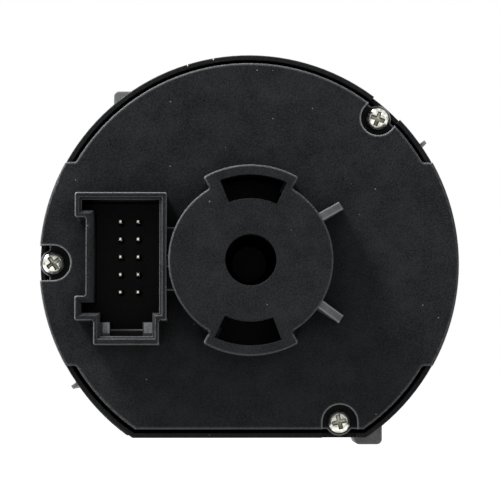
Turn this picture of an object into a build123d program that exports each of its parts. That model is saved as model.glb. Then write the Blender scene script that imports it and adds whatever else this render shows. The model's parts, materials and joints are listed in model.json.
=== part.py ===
# Headlight switch for a dashboard, 79 mm across its bezel.
# The knob turns about the Y axis. The plane y = 0 is the bezel's seat on the dashboard, the driver sits
# on the -Y side and the wiring plug goes in from the +Y side. +X is the driver's right and +Z is up.
# Sketches are drawn as the driver sees them, at a stated depth behind the seat. All lengths are in mm.
from build123d import *
from math import asin, cos, degrees, hypot, radians, sin, sqrt
import os

os.makedirs("parts", exist_ok=True)

# Gaps between pieces
running_gap = 0.08  # round a shaft in its bearing
slide_gap = 0.15  # beside a sliding piece
fit_gap = 0.1  # between pieces that are assembled and stay

# Body, a round case with a flat below
body_radius = 38.0
flat_drop = 6.4  # how much the flat takes off the round
body_wall = 0.9
body_length = 30.2  # seat to the rear rim
body_entry = 1.6  # how far the wall runs forward into the bezel
fin_height = 1.2
fin_thickness = 0.7
fin_front = 5.0
fin_end_gap = 1.2  # from the fin's rear end to the rim
fin_angles = (145.3, 325.0)  # from +X towards +Z
nick_angles = (72.7, 80.0)  # of the two small nicks in the rim
nick_width = 0.2
nick_depth = 0.4
rim_edge = 0.2  # rounding of the rim's outer edge

# Bezel and front panel
bezel_overhang = 1.6  # past the body where it is round
bezel_overhang_below = 0.5  # and along the flat
bezel_height = 5.5
bezel_rim = 3.0  # width of the visible frame where it is round
bezel_rim_below = 1.7  # and along the flat
bezel_edge_fillet = 1.2
panel_recess = 0.3
panel_thickness = 1.6
spigot_length = 2.4
spigot_wall = 1.5
panel_bore = 9.5

# Knob
knob_radius = 21.0
knob_neck_radius = 20.3
knob_depth = 9.6
knob_push = 2.5
knob_clearance = 0.4
knob_wall = 1.6
knob_edge_fillet = 1.4
knob_ring_height = 2.6
knob_ring_proud = 0.35
knob_shoulder = 3.0
hub_wall = 2.6
grip_length = 38.0
grip_width = 10.5
grip_height = 5.6
grip_waist = 3.7  # half the width of the grip at its middle
grip_waist_radius = 42.0
grip_taper = 6.0
grip_fillet = 1.1
pointer_length = 9.0
pointer_width = 1.5
pointer_depth = 0.8

# Shaft and rotor
pull_travel = 8.0
stem_radius = 5.5
stem_flat = 4.6  # axis to each of the two flats on the stem
stem_end_gap = 0.4  # left to the knob when it is pushed right in
spline_radius = 6.0
spline_key_height = 1.2
spline_key_width = 2.2
spline_keys = 4
shaft_collar_radius = 8.0
shaft_collar_length = 1.5
shaft_tail_radius = 4.2
shaft_tail_length = 9.5
rotor_radius = 12.0
rotor_front = 0.6
front_bearing_length = 3.2
cam_radius = 15.6
cam_ring_gap = 2.6  # from the cam back to the release ring
cam_notch_radius = 2.2
cam_notch_depth = 0.8
stop_angle = 45.0
retainer_thickness = 0.6
retainer_bore = 5.0
retainer_bite = 0.6
retainer_lip = 0.6  # rotor length behind the retainer
rotor_tail = 1.3  # rotor length behind the bulkhead
rotor_axial_gap = 0.1
spring_bore = 3.2
spring_bore_depth = 6.0
spring_wire = 0.7

# Wiper ring and circuit board
wiper_width = 2.0
wiper_thickness = 0.25
wiper_stud_radius = 0.55
wiper_stud_height = 0.35
wiper_studs = 3
wiper_gap = 0.1
board_gap = 1.5  # from the board's edge to the body's wall
board_thickness = 1.6
board_bore = 7.0
chip_size = 8.0
chip_height = 1.3
chip_place = (-20.0, 2.0)
led_size = 2.8
led_height = 1.0
led_gap = 0.3

# Carrier behind the front panel
carrier_thickness = 1.6
rib_thickness = 1.0
collar_wall = 1.7

# Detents, two sprung plungers on the cam
plunger_radius = 1.6
plunger_length = 5.0
plunger_clearance = 0.15  # held just off the cam's crests
detent_spring_length = 4.8
pocket_wall = 1.1

# Locking lugs and their ring
lug_inner = 20.1  # axis to the near side of a lug
lug_width = 5.25
lug_front = 4.2
lug_depth = 8.8
lug_reach = 33.4  # axis to the tip of a lug
lug_tail = 4.5
lug_corner = 1.0
lug_travel = 5.7
lug_spring_length = 10.0
lug_spring_radius = 2.3
bulkhead_front = 16.0
bulkhead_thickness = 1.6
ring_thickness = 2.2
ring_back_gap = 0.2
ring_width = 4.4
ring_arm_width = 6.0
ring_arm_tip = 2.5  # arm past the middle of its pin
ring_pin_radius = 1.2
ring_pin_depth = 4.0

# Thumbwheels, which turn about upright axles below the knob
wheel_offset = 11.0  # knob's axis to a wheel's axis
wheel_setback = 0.3  # a wheel's axis behind the seat
wheel_radius = 8.0
wheel_thickness = 4.4
wheel_gap = 0.2
wheel_teeth = 26
tooth_depth = 0.5
axle_radius = 1.5
shelf_thickness = 1.1
shelf_reach = 3.2  # shelf in front of the seat
window_margin = 0.35
sensor_size = 9.0
sensor_height = 2.8

# Light guide behind the symbols
guide_inner = 24.4
guide_outer = 29.0
guide_thickness = 2.0
guide_half_angle = 97.0
guide_leg_radius = 1.4
guide_leg_gap = 4.9  # from a leg to the body's wall
guide_leg_angles = (-75.0, 0.0, 75.0)  # from the top, clockwise

# Rear cover
cover_gap = 0.7  # the groove between the cover and the rim
cover_thickness = 2.0
cover_rise = 1.3  # the cover's face behind the rim
cover_skirt_length = 2.6
cover_skirt_wall = 1.0
land_top = 18.3
land_bottom = -18.6
cover_edge = 0.35
land_corner = 0.6  # rounding where a land meets the round edge

# Screws and their pockets: place of each, and the direction in which its pocket is open
screw_places = ((-23.4, 26.4, 131.6), (35.5, 0.0, 0.0), (-16.3, -28.7, 270.0))
screw_head_radius = 2.0
screw_head_height = 1.5
screw_shank_radius = 1.0
screw_tip_gap = 2.2  # from a screw's tip to the bulkhead
screw_cross_length = 2.4
screw_cross_width = 0.55
screw_cross_depth = 0.8
pocket_radius = 3.15
eye_radius = 2.5
eye_thickness = 1.2
eye_depth = 2.7  # from the cover's face down to the screw's seat
screw_boss_radius = 2.45

# Boss over the end of the shaft
boss_radius = 14.5
boss_height = 12.6
boss_wall = 1.5
boss_roof = 1.8
boss_bore = 4.5
sleeve_wall = 1.7
sleeve_length = 19.5
ear_radius = 16.8
ear_half_angle = 30.0
ear_directions = (90.0, 270.0)  # from +X towards +Z
ear_corner = 0.5
slot_inner = 10.8
slot_outer = 15.0
slot_half_angle = 23.0
slot_turn = 2.0
boss_fillet = 0.4
gusset_angle = 32.0
gusset_width = 1.5
gusset_reach = 19.3
gusset_height = 11.0
gusset_end_height = 3.5

# Connector, its shroud seen from the driver's side
shroud_height = 12.0
shroud_near = 14.75
shroud_far = 29.0
shroud_top = 11.9
shroud_bottom = -10.6
shroud_wall = 1.3
shroud_far_wall = 1.4
key_depth = 1.9
key_wall = 1.2
shroud_corner = 0.4
shroud_edge = 0.25
mouth_chamfer = 0.55
upper_key = (7.5, 11.9)
lower_key = (-10.6, -6.3)
upper_notch = (8.7, 10.6)
lower_notch = (-9.3, -7.5)
latch_sides = (16.1, 27.6)
latch_bottom = -14.9
latch_wall = 1.5
latch_side_wall = 1.15
shoulder_width = 1.7
shoulder_top = -10.9
shoulder_drop = 1.4
ledge_top = -12.1
ledge_drop = 5.0
bridge_top = 5.9
bridge_bottom = -5.3
bridge_height = 9.5
tie_top = 0.9  # small tie between the boss and the shroud, higher than the bridge
tie_bottom = -1.2
tie_drop = 0.5
pin_columns = (19.95, 23.1)
pin_pitch = 3.15
pin_rows = 5
pin_middle = 0.8
pin_width = 0.64
pin_reach = 6.5  # past the cover's face
pin_tail = 1.0
header_height = 2.4
header_margin = 1.6
post_radius = 2.0
post_circle = 28.0
post_angles = (45.0, 135.0, 225.0, 315.0)

# Depths and places that follow from the sizes above
body_flat = body_radius - flat_drop
bezel_radius = body_radius + bezel_overhang
bezel_flat = body_flat + bezel_overhang_below
board_radius = body_radius - body_wall - board_gap
board_flat = body_flat - body_wall - board_gap
cover_radius = body_radius - body_wall - cover_gap
cover_flat = body_flat - body_wall - cover_gap
guide_leg_reach = body_radius - body_wall - guide_leg_gap - guide_leg_radius
panel_front = -bezel_height + panel_recess
panel_back = panel_front + panel_thickness
spigot_radius = body_radius - body_wall - slide_gap
spigot_flat = body_flat - body_wall - slide_gap
window_radius = bezel_radius - bezel_rim
window_flat = bezel_flat - bezel_rim_below
carrier_front = spigot_length
carrier_back = carrier_front + carrier_thickness
bearing_end = carrier_front + front_bearing_length
cam_front = bearing_end + rotor_axial_gap
cam_back = bulkhead_front - ring_thickness - ring_back_gap - cam_ring_gap
bulkhead_back = bulkhead_front + bulkhead_thickness
rotor_back = bulkhead_back + rotor_tail
board_front = rotor_back + wiper_thickness + wiper_stud_height + wiper_gap
board_back = board_front + board_thickness
collar_radius = rotor_radius + running_gap + collar_wall
ring_back = bulkhead_front - ring_back_gap
ring_front = ring_back - ring_thickness
lug_middle = lug_inner + lug_width / 2
lug_back = lug_front + lug_depth
release_angle = degrees(asin(lug_travel / lug_middle))
retainer_back = rotor_back - retainer_lip
retainer_front = retainer_back - retainer_thickness
shaft_collar_back = retainer_front - rotor_axial_gap
shaft_collar_front = shaft_collar_back - shaft_collar_length
rotor_counterbore = shaft_collar_front - pull_travel
knob_back = -(bezel_height + knob_push + knob_clearance)
knob_front = knob_back - knob_depth
knob_ceiling = knob_front + knob_wall
stem_front = knob_ceiling + knob_push + stem_end_gap
spring_seat = stem_front + spring_bore_depth
shelf_bottom = -(spigot_flat)
shelf_top = shelf_bottom + shelf_thickness
wheel_bottom = shelf_top + wheel_gap
wheel_top = wheel_bottom + wheel_thickness
upper_shelf_bottom = wheel_top + wheel_gap
upper_shelf_top = upper_shelf_bottom + shelf_thickness
shelf_half_width = wheel_offset + wheel_radius + 2 * window_margin + rib_thickness
cover_outer = body_length + cover_rise
cover_inner = cover_outer - cover_thickness
screw_seat = cover_outer - eye_depth
screw_length = screw_seat - bulkhead_back - screw_tip_gap
eye_back = screw_seat - eye_thickness
boss_top = cover_outer + boss_height
sleeve_front = boss_top - sleeve_length
shroud_top_depth = cover_outer + shroud_height
pin_tip = cover_outer + pin_reach
pin_start = board_front - pin_tail
pin_heights = [pin_middle + pin_pitch * (row - (pin_rows - 1) / 2) for row in range(pin_rows)]
plunger_tip = cam_radius + plunger_clearance
plunger_end = plunger_tip + plunger_length
pocket_end = plunger_end + detent_spring_length
detent_angles = (-stop_angle / 2, stop_angle / 2)
cam_middle = (cam_front + cam_back) / 2


def depth(y, turn=0):
    # A sketch plane at this depth, turned about the knob's axis from +X towards +Z
    return Plane(origin=(0, y, 0), x_dir=(cos(radians(turn)), 0, sin(radians(turn))), z_dir=(0, -1, 0))


def rearward(length, mode=Mode.ADD):
    # Carries the open sketch away from the driver
    extrude(amount=-length, mode=mode)


def d_outline(radius, flat, mode=Mode.ADD):
    # A round outline with a flat below the axis
    half = sqrt(radius**2 - flat**2)
    with BuildLine() as outline:
        ThreePointArc((-half, -flat), (0, radius), (half, -flat))
        Line((half, -flat), (-half, -flat))
    make_face(outline.edges(), mode=mode)


def block(x_limits, z_limits, mode=Mode.ADD):
    # An upright rectangle between these limits
    with Locations((sum(x_limits) / 2, sum(z_limits) / 2)):
        Rectangle(x_limits[1] - x_limits[0], z_limits[1] - z_limits[0], mode=mode)


def sector(inner, outer, middle, half_angle, mode=Mode.ADD):
    # A piece of a ring between two radii, about a middle direction in degrees from +X
    def on(radius, angle):
        return (radius * cos(radians(angle)), radius * sin(radians(angle)))

    low, high = middle - half_angle, middle + half_angle
    with BuildLine() as outline:
        ThreePointArc(on(outer, low), on(outer, middle), on(outer, high))
        Line(on(outer, high), on(inner, high))
        ThreePointArc(on(inner, high), on(inner, middle), on(inner, low))
        Line(on(inner, low), on(outer, low))
    make_face(outline.edges(), mode=mode)


def flat_faces_at(part, y):
    # The flat faces of an open part that lie across the knob's axis at this depth
    return part.faces().filter_by(Axis.Y).filter_by(lambda face: abs(face.center().Y - y) < fit_gap)


def from_top(radius, angle):
    # The point at this radius and this angle clockwise from the top
    return (radius * sin(radians(angle)), radius * cos(radians(angle)))


def spoke(radius, angle, y):
    # A plane across a spoke that leaves the axis at this angle clockwise from the top
    x, z = from_top(radius, angle)
    return Plane(origin=(x, y, z), x_dir=(0, 1, 0), z_dir=(x / radius, 0, z / radius))


def fore_and_aft(angle):
    # A plane through the axis: local x leaves it at this angle from +X, local y runs rearward
    x, z = cos(radians(angle)), sin(radians(angle))
    return Plane(origin=(0, 0, 0), x_dir=(x, 0, z), z_dir=(-z, 0, x))


# Housing: the round wall, the bulkhead with the rotor's rear bearing, and the screw bosses
with BuildPart() as housing:
    with BuildSketch(depth(-body_entry)):
        d_outline(body_radius, body_flat)
        d_outline(body_radius - body_wall, body_flat - body_wall, Mode.SUBTRACT)
    rearward(body_entry + body_length)
    fillet(housing.faces().sort_by(Axis.Y)[-1].outer_wire().edges(), rim_edge)
    with BuildSketch(depth(bulkhead_front)):
        d_outline(body_radius - body_wall / 2, body_flat - body_wall / 2)
    rearward(bulkhead_thickness)
    with BuildSketch(depth(cam_back + rotor_axial_gap)):
        Circle(collar_radius)
    rearward(bulkhead_front - cam_back)
    with BuildSketch(depth(cam_back)):
        Circle(rotor_radius + running_gap)
        with Locations(*[from_top(guide_leg_reach, a) for a in guide_leg_angles]):
            Circle(guide_leg_radius + window_margin)
    rearward(bulkhead_back - cam_back, Mode.SUBTRACT)
    with BuildSketch(depth(bulkhead_back)):
        with Locations(*[(x, z) for x, z, open_to in screw_places]):
            Circle(screw_boss_radius)
    rearward(eye_back - bulkhead_back)
    with BuildSketch(depth(bulkhead_back)):
        with PolarLocations(post_circle, len(post_angles), post_angles[0]):
            Circle(post_radius)
    rearward(board_front - bulkhead_back)
    # The rim makes way for the cover's screw eyes
    with BuildSketch(depth(eye_back)):
        for x, z, open_to in screw_places:
            with Locations(Location((x, z, 0), (0, 0, open_to))):
                Circle(pocket_radius)
                with Locations((pocket_radius, 0)):
                    Rectangle(2 * pocket_radius, 2 * pocket_radius)
    rearward(body_length - eye_back, Mode.SUBTRACT)
    with BuildSketch(depth(screw_seat)):
        with Locations(*[(x, z) for x, z, open_to in screw_places]):
            Circle(screw_shank_radius + fit_gap / 2)
    extrude(amount=screw_length + fit_gap, mode=Mode.SUBTRACT)
    # Windows for the locking lugs
    for turn in (0, 180):
        with BuildSketch(depth(lug_front - slide_gap, turn)):
            lug_sides = (lug_inner - slide_gap, lug_inner + lug_width + slide_gap)
            block(lug_sides, (lug_middle / 2, body_radius))
        rearward(lug_depth + 2 * slide_gap, Mode.SUBTRACT)
    # Thin fins that wedge the body in its hole
    for angle in fin_angles:
        with BuildSketch(depth(fin_front, angle)):
            fin_reach = (body_radius - body_wall / 2, body_radius + fin_height)
            block(fin_reach, (-fin_thickness / 2, fin_thickness / 2))
        rearward(body_length - fin_end_gap - fin_front)
    # Nicks in the rim
    for angle in nick_angles:
        with BuildSketch(depth(eye_back, angle)):
            block((body_radius - nick_depth, body_radius + nick_depth), (-nick_width / 2, nick_width / 2))
        rearward(body_length - eye_back, Mode.SUBTRACT)
housing.part.label = "housing"
export_step(housing.part, "parts/housing.step")

# Bezel: the visible frame, the seat behind it and the spigot inside the housing
with BuildPart() as bezel_ring:
    with BuildSketch(depth(-bezel_height)):
        d_outline(bezel_radius, bezel_flat)
    rearward(bezel_height)
    front_edges = bezel_ring.faces().sort_by(Axis.Y)[0].edges()
    fillet(front_edges, bezel_edge_fillet)
    with BuildSketch(depth(0)):
        d_outline(spigot_radius, spigot_flat)
    rearward(spigot_length)
    with BuildSketch(depth(-bezel_height)):
        d_outline(window_radius, window_flat)
    rearward(panel_back + bezel_height, Mode.SUBTRACT)
    with BuildSketch(depth(panel_back)):
        d_outline(spigot_radius - spigot_wall, spigot_flat - spigot_wall)
    rearward(spigot_length - panel_back, Mode.SUBTRACT)
    with BuildSketch(depth(-body_entry)):
        d_outline(body_radius + fit_gap, body_flat + fit_gap)
        d_outline(spigot_radius, spigot_flat, Mode.SUBTRACT)
    rearward(body_entry, Mode.SUBTRACT)
    # The ledge and spigot stop beside the thumbwheels
    with BuildSketch(depth(panel_back)):
        block((-shelf_half_width, shelf_half_width), (-spigot_flat, upper_shelf_top))
    rearward(spigot_length - panel_back, Mode.SUBTRACT)
bezel_ring.part.label = "bezel_ring"
export_step(bezel_ring.part, "parts/bezel_ring.step")

# Front panel, which shows the symbols
with BuildPart() as face_plate:
    with BuildSketch(depth(panel_front)):
        d_outline(window_radius - fit_gap, window_flat - fit_gap)
        Circle(panel_bore, mode=Mode.SUBTRACT)
        for side in (-1, 1):
            chord = sqrt(wheel_radius**2 - (wheel_setback - panel_back) ** 2) + window_margin
            middle = side * wheel_offset
            opening = (wheel_bottom - wheel_gap / 2, wheel_top + wheel_gap)
            block((middle - chord, middle + chord), opening, Mode.SUBTRACT)
    rearward(panel_thickness)
face_plate.part.label = "face_plate"
export_step(face_plate.part, "parts/face_plate.step")

# Light guide: an arc behind the symbols, and legs down to the lamps on the board
with BuildPart() as symbol_light_guide:
    with BuildSketch(depth(panel_back)):
        sector(guide_inner, guide_outer, 90, guide_half_angle)
        for angle in guide_leg_angles:
            with Locations(Location((*from_top(guide_leg_reach, angle), 0), (0, 0, -angle))):
                Circle(guide_leg_radius)
                with Locations((0, (guide_outer - guide_leg_reach) / 2 - guide_leg_radius / 2)):
                    Rectangle(2 * guide_leg_radius, guide_leg_reach - guide_outer + guide_leg_radius)
    rearward(guide_thickness)
    with BuildSketch(depth(panel_back)):
        with Locations(*[from_top(guide_leg_reach, a) for a in guide_leg_angles]):
            Circle(guide_leg_radius)
    rearward(board_front - led_height - led_gap - panel_back)
symbol_light_guide.part.label = "symbol_light_guide"
export_step(symbol_light_guide.part, "parts/symbol_light_guide.step")

# Carrier: holds the rotor's front bearing, the detents, the lug guides and the thumbwheels
with BuildPart() as front_carrier:
    with BuildSketch(depth(carrier_front)):
        d_outline(spigot_radius, spigot_flat)
    rearward(carrier_thickness)
    with BuildSketch(depth(carrier_front)):
        Circle(collar_radius)
    rearward(bearing_end - carrier_front)
    # Guide ribs beside each lug, and the stop behind its spring
    near, far = lug_inner - slide_gap, lug_inner + lug_width + slide_gap
    stop = -(lug_tail + lug_spring_length)
    rib_end = sqrt((spigot_radius - rib_thickness) ** 2 - (far + rib_thickness) ** 2)
    for turn in (0, 180):
        with BuildSketch(depth(carrier_back, turn)):
            block((near - rib_thickness, near), (-rib_end, rib_end))
            block((far, far + rib_thickness), (-rib_end, rib_end))
            block((near, far), (stop - rib_thickness, stop))
        rearward(lug_back - carrier_back - slide_gap)
    # Pockets for the detent plungers
    for angle in detent_angles:
        with BuildSketch(depth(carrier_back, -angle)):
            half = plunger_radius + running_gap + pocket_wall
            block((-half, half), (plunger_tip + plunger_radius, pocket_end + pocket_wall))
        rearward(cam_middle + plunger_radius + running_gap + pocket_wall - carrier_back)
    for angle in detent_angles:
        with BuildSketch(spoke(plunger_tip, angle, cam_middle)):
            Circle(plunger_radius + running_gap)
        extrude(amount=pocket_end - plunger_tip, mode=Mode.SUBTRACT)
    # Openings for the rotor, the light guide's legs and the wheels
    with BuildSketch(depth(carrier_front)):
        Circle(rotor_radius + running_gap)
    rearward(bearing_end - carrier_front, Mode.SUBTRACT)
    with BuildSketch(depth(carrier_front)):
        with Locations(*[from_top(guide_leg_reach, a) for a in guide_leg_angles]):
            Circle(guide_leg_radius + window_margin)
        opening = (shelf_bottom, upper_shelf_top + sensor_height + fit_gap)
        for side in (-1, 1):
            middle, reach = side * wheel_offset, wheel_radius + window_margin
            block((middle - reach, middle + reach), opening)
    rearward(carrier_thickness, Mode.SUBTRACT)
    # Shelves above and below the wheels, with the axles' holes
    with BuildSketch(depth(-shelf_reach)):
        shelf_sides = (-shelf_half_width + fit_gap, shelf_half_width - fit_gap)
        block(shelf_sides, (shelf_bottom, shelf_top))
        block(shelf_sides, (upper_shelf_bottom, upper_shelf_top))
    rearward(carrier_back + shelf_reach)
    with BuildSketch(Plane.XY.offset(shelf_bottom)):
        with Locations((-wheel_offset, wheel_setback), (wheel_offset, wheel_setback)):
            Circle(axle_radius + running_gap)
    extrude(amount=upper_shelf_top - shelf_bottom, mode=Mode.SUBTRACT)
front_carrier.part.label = "front_carrier"
export_step(front_carrier.part, "parts/front_carrier.step")

# Detent plungers and the springs behind them
for number, angle in enumerate(detent_angles, 1):
    with BuildPart() as detent_plunger:
        with BuildSketch(spoke(plunger_tip + plunger_radius, angle, cam_middle)):
            Circle(plunger_radius)
        extrude(amount=plunger_length - plunger_radius)
        x, z = from_top(plunger_tip + plunger_radius, angle)
        with Locations((x, cam_middle, z)):
            Sphere(plunger_radius)
    detent_plunger.part.label = f"detent_plunger_{number}"
    export_step(detent_plunger.part, f"parts/detent_plunger_{number}.step")
    with BuildPart() as detent_spring:
        with BuildSketch(spoke(plunger_end, angle, cam_middle)):
            Circle(plunger_radius - fit_gap)
            Circle(plunger_radius - fit_gap - spring_wire, mode=Mode.SUBTRACT)
        extrude(amount=detent_spring_length)
    detent_spring.part.label = f"detent_spring_{number}"
    export_step(detent_spring.part, f"parts/detent_spring_{number}.step")

# Rotor: cam flange with a notch at each stop, splined bore, and the counterbore for the shaft's collar
with BuildPart() as rotor:
    with BuildSketch(depth(rotor_front)):
        Circle(rotor_radius)
    rearward(rotor_back - rotor_front)
    with BuildSketch(depth(cam_front)):
        Circle(cam_radius)
        notch_circle = cam_radius - cam_notch_depth + cam_notch_radius
        with PolarLocations(notch_circle, round(360 / stop_angle), 90 + stop_angle / 2):
            Circle(cam_notch_radius, mode=Mode.SUBTRACT)
    rearward(cam_back - cam_front)
    with BuildSketch(depth(rotor_front)):
        Circle(spline_radius + running_gap)
        with PolarLocations(spline_radius, spline_keys):
            Rectangle(2 * (spline_key_height + running_gap), spline_key_width + 2 * running_gap)
    rearward(rotor_counterbore - rotor_front, Mode.SUBTRACT)
    with BuildSketch(depth(rotor_counterbore)):
        Circle(shaft_collar_radius + running_gap)
    rearward(rotor_back - rotor_counterbore, Mode.SUBTRACT)
    with BuildSketch(depth(retainer_front)):
        Circle(shaft_collar_radius + retainer_bite + fit_gap)
    rearward(retainer_thickness, Mode.SUBTRACT)
rotor.part.label = "rotor"
export_step(rotor.part, "parts/rotor.step")

# Retaining ring that keeps the shaft in the rotor
with BuildPart() as shaft_retainer:
    with BuildSketch(depth(retainer_front)):
        Circle(shaft_collar_radius + retainer_bite)
        Circle(retainer_bore, mode=Mode.SUBTRACT)
        block((-retainer_bore / 2, retainer_bore / 2), (0, 2 * shaft_collar_radius), Mode.SUBTRACT)
    rearward(retainer_thickness)
shaft_retainer.part.label = "shaft_retainer"
export_step(shaft_retainer.part, "parts/shaft_retainer.step")

# Wiper ring on the rotor's rear end
with BuildPart() as wiper_contacts:
    with BuildSketch(depth(rotor_back)):
        Circle(rotor_radius - fit_gap)
        Circle(rotor_radius - fit_gap - wiper_width, mode=Mode.SUBTRACT)
    rearward(wiper_thickness)
    with BuildSketch(depth(rotor_back + wiper_thickness)):
        with PolarLocations(rotor_radius - fit_gap - wiper_width / 2, wiper_studs):
            Circle(wiper_stud_radius)
    rearward(wiper_stud_height)
wiper_contacts.part.label = "wiper_contacts"
export_step(wiper_contacts.part, "parts/wiper_contacts.step")

# Shaft: stem for the knob, splined middle, collar and tail
with BuildPart() as shaft:
    with BuildSketch(depth(stem_front)):
        Circle(stem_radius)
        Rectangle(2 * stem_flat, 2 * stem_radius, mode=Mode.INTERSECT)
    rearward(rotor_front - stem_front)
    with BuildSketch(depth(rotor_front)):
        Circle(spline_radius)
        with PolarLocations(spline_radius, spline_keys):
            Rectangle(2 * spline_key_height, spline_key_width)
    rearward(shaft_collar_front - rotor_front)
    with BuildSketch(depth(shaft_collar_front)):
        Circle(shaft_collar_radius)
    rearward(shaft_collar_length)
    with BuildSketch(depth(shaft_collar_back)):
        Circle(shaft_tail_radius)
    rearward(shaft_tail_length)
    chamfer(shaft.faces().sort_by(Axis.Y)[-1].edges(), shaft_tail_radius / 4)
    with BuildSketch(depth(stem_front)):
        Circle(spring_bore)
    rearward(spring_bore_depth, Mode.SUBTRACT)
shaft.part.label = "shaft"
export_step(shaft.part, "parts/shaft.step")

# Knob: a hollow cap with a hub on the stem and a waisted grip across its front
with BuildPart() as knob:
    with BuildSketch(depth(knob_front)):
        Circle(knob_neck_radius)
    rearward(knob_depth - knob_shoulder)
    fillet(knob.faces().sort_by(Axis.Y)[0].edges(), knob_edge_fillet)
    with BuildSketch(depth(knob_back - knob_shoulder)):
        Circle(knob_radius)
    rearward(knob_shoulder)
    with BuildSketch(depth(knob_front + knob_edge_fillet)):
        SlotOverall(grip_length, grip_width, rotation=90)
        for side in (-1, 1):
            with Locations((side * (grip_waist + grip_waist_radius), 0)):
                Circle(grip_waist_radius, mode=Mode.SUBTRACT)
    extrude(amount=grip_height + knob_edge_fillet, taper=grip_taper)
    fillet(knob.faces().sort_by(Axis.Y)[0].edges(), grip_fillet)
    with BuildSketch(depth(knob_ceiling)):
        Circle(knob_neck_radius - knob_wall)
    rearward(knob_back - knob_ceiling, Mode.SUBTRACT)
    with BuildSketch(depth(knob_ceiling)):
        Circle(stem_radius + running_gap + hub_wall)
    rearward(knob_back - knob_ceiling)
    with BuildSketch(depth(knob_ceiling)):
        Circle(stem_radius + running_gap)
        Rectangle(2 * (stem_flat + running_gap), 4 * stem_radius, mode=Mode.INTERSECT)
    rearward(knob_back - knob_ceiling, Mode.SUBTRACT)
    # Seat for the pointer at the grip's upper end
    pointer_top = grip_length / 2 - grip_height * sin(radians(grip_taper)) - pointer_width
    with BuildSketch(depth(knob_front - grip_height)):
        block((-pointer_width / 2, pointer_width / 2), (pointer_top - pointer_length, pointer_top))
    rearward(pointer_depth, Mode.SUBTRACT)
knob.part.label = "knob"
export_step(knob.part, "parts/knob.step")

with BuildPart() as knob_pointer:
    with BuildSketch(depth(knob_front - grip_height)):
        block((-pointer_width / 2, pointer_width / 2), (pointer_top - pointer_length, pointer_top))
    rearward(pointer_depth)
knob_pointer.part.label = "knob_pointer"
export_step(knob_pointer.part, "parts/knob_pointer.step")

with BuildPart() as knob_ring:
    with BuildSketch(depth(knob_back - knob_shoulder - knob_ring_height)):
        Circle(knob_radius + knob_ring_proud)
        Circle(knob_neck_radius, mode=Mode.SUBTRACT)
    rearward(knob_ring_height)
    fillet(knob_ring.faces().sort_by(Axis.Y)[0].outer_wire().edges(), knob_ring_proud)
knob_ring.part.label = "knob_ring"
export_step(knob_ring.part, "parts/knob_ring.step")

with BuildPart() as knob_return_spring:
    with BuildSketch(depth(knob_ceiling)):
        Circle(spring_bore - fit_gap)
        Circle(spring_bore - fit_gap - spring_wire, mode=Mode.SUBTRACT)
    rearward(spring_seat - knob_ceiling)
knob_return_spring.part.label = "knob_return_spring"
export_step(knob_return_spring.part, "parts/knob_return_spring.step")

# Locking lugs: each slides up or down in its guides, with a slot for the ring's pin
for name, turn in (("upper_lug", 0), ("lower_lug", 180)):
    with BuildPart() as lug:
        with BuildSketch(depth(lug_front, turn)):
            block((lug_inner, lug_inner + lug_width), (-lug_tail, lug_reach))
        rearward(lug_depth)
        tip = lug.faces().sort_by(Axis.Z)[-1 if turn == 0 else 0]
        fillet(tip.edges().filter_by(Axis.Y), lug_corner)
        with BuildSketch(depth(lug_back - ring_pin_depth, turn)):
            with Locations((lug_middle, 0)):
                swing = lug_middle * (1 - cos(radians(release_angle)))
                slot_length = 2 * (ring_pin_radius + slide_gap + swing)
                Rectangle(slot_length, 2 * (ring_pin_radius + slide_gap))
        rearward(ring_pin_depth, Mode.SUBTRACT)
    lug.part.label = name
    export_step(lug.part, f"parts/{name}.step")

for number, turn in enumerate((0, 180), 1):
    with BuildPart() as lug_spring:
        stop = lug_tail + lug_spring_length
        side = 1 if turn == 0 else -1
        spring_depth = lug_front + lug_depth / 2
        with BuildSketch(Plane.XY.offset(-side * lug_tail)):
            with Locations((side * lug_middle, spring_depth)):
                Circle(lug_spring_radius)
                Circle(lug_spring_radius - spring_wire, mode=Mode.SUBTRACT)
        extrude(amount=-side * lug_spring_length)
    lug_spring.part.label = f"lug_spring_{number}"
    export_step(lug_spring.part, f"parts/lug_spring_{number}.step")

# Release ring: turns on the bulkhead's collar and draws both lugs in
with BuildPart() as release_ring:
    with BuildSketch(depth(ring_front)):
        Circle(collar_radius + running_gap + ring_width)
        Rectangle(2 * (lug_middle + ring_arm_tip), ring_arm_width)
        Circle(collar_radius + running_gap, mode=Mode.SUBTRACT)
    rearward(ring_thickness)
    with BuildSketch(depth(lug_back - ring_pin_depth + fit_gap)):
        with Locations((-lug_middle, 0), (lug_middle, 0)):
            Circle(ring_pin_radius)
    rearward(ring_front - lug_back + ring_pin_depth - fit_gap)
release_ring.part.label = "release_ring"
export_step(release_ring.part, "parts/release_ring.step")

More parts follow.
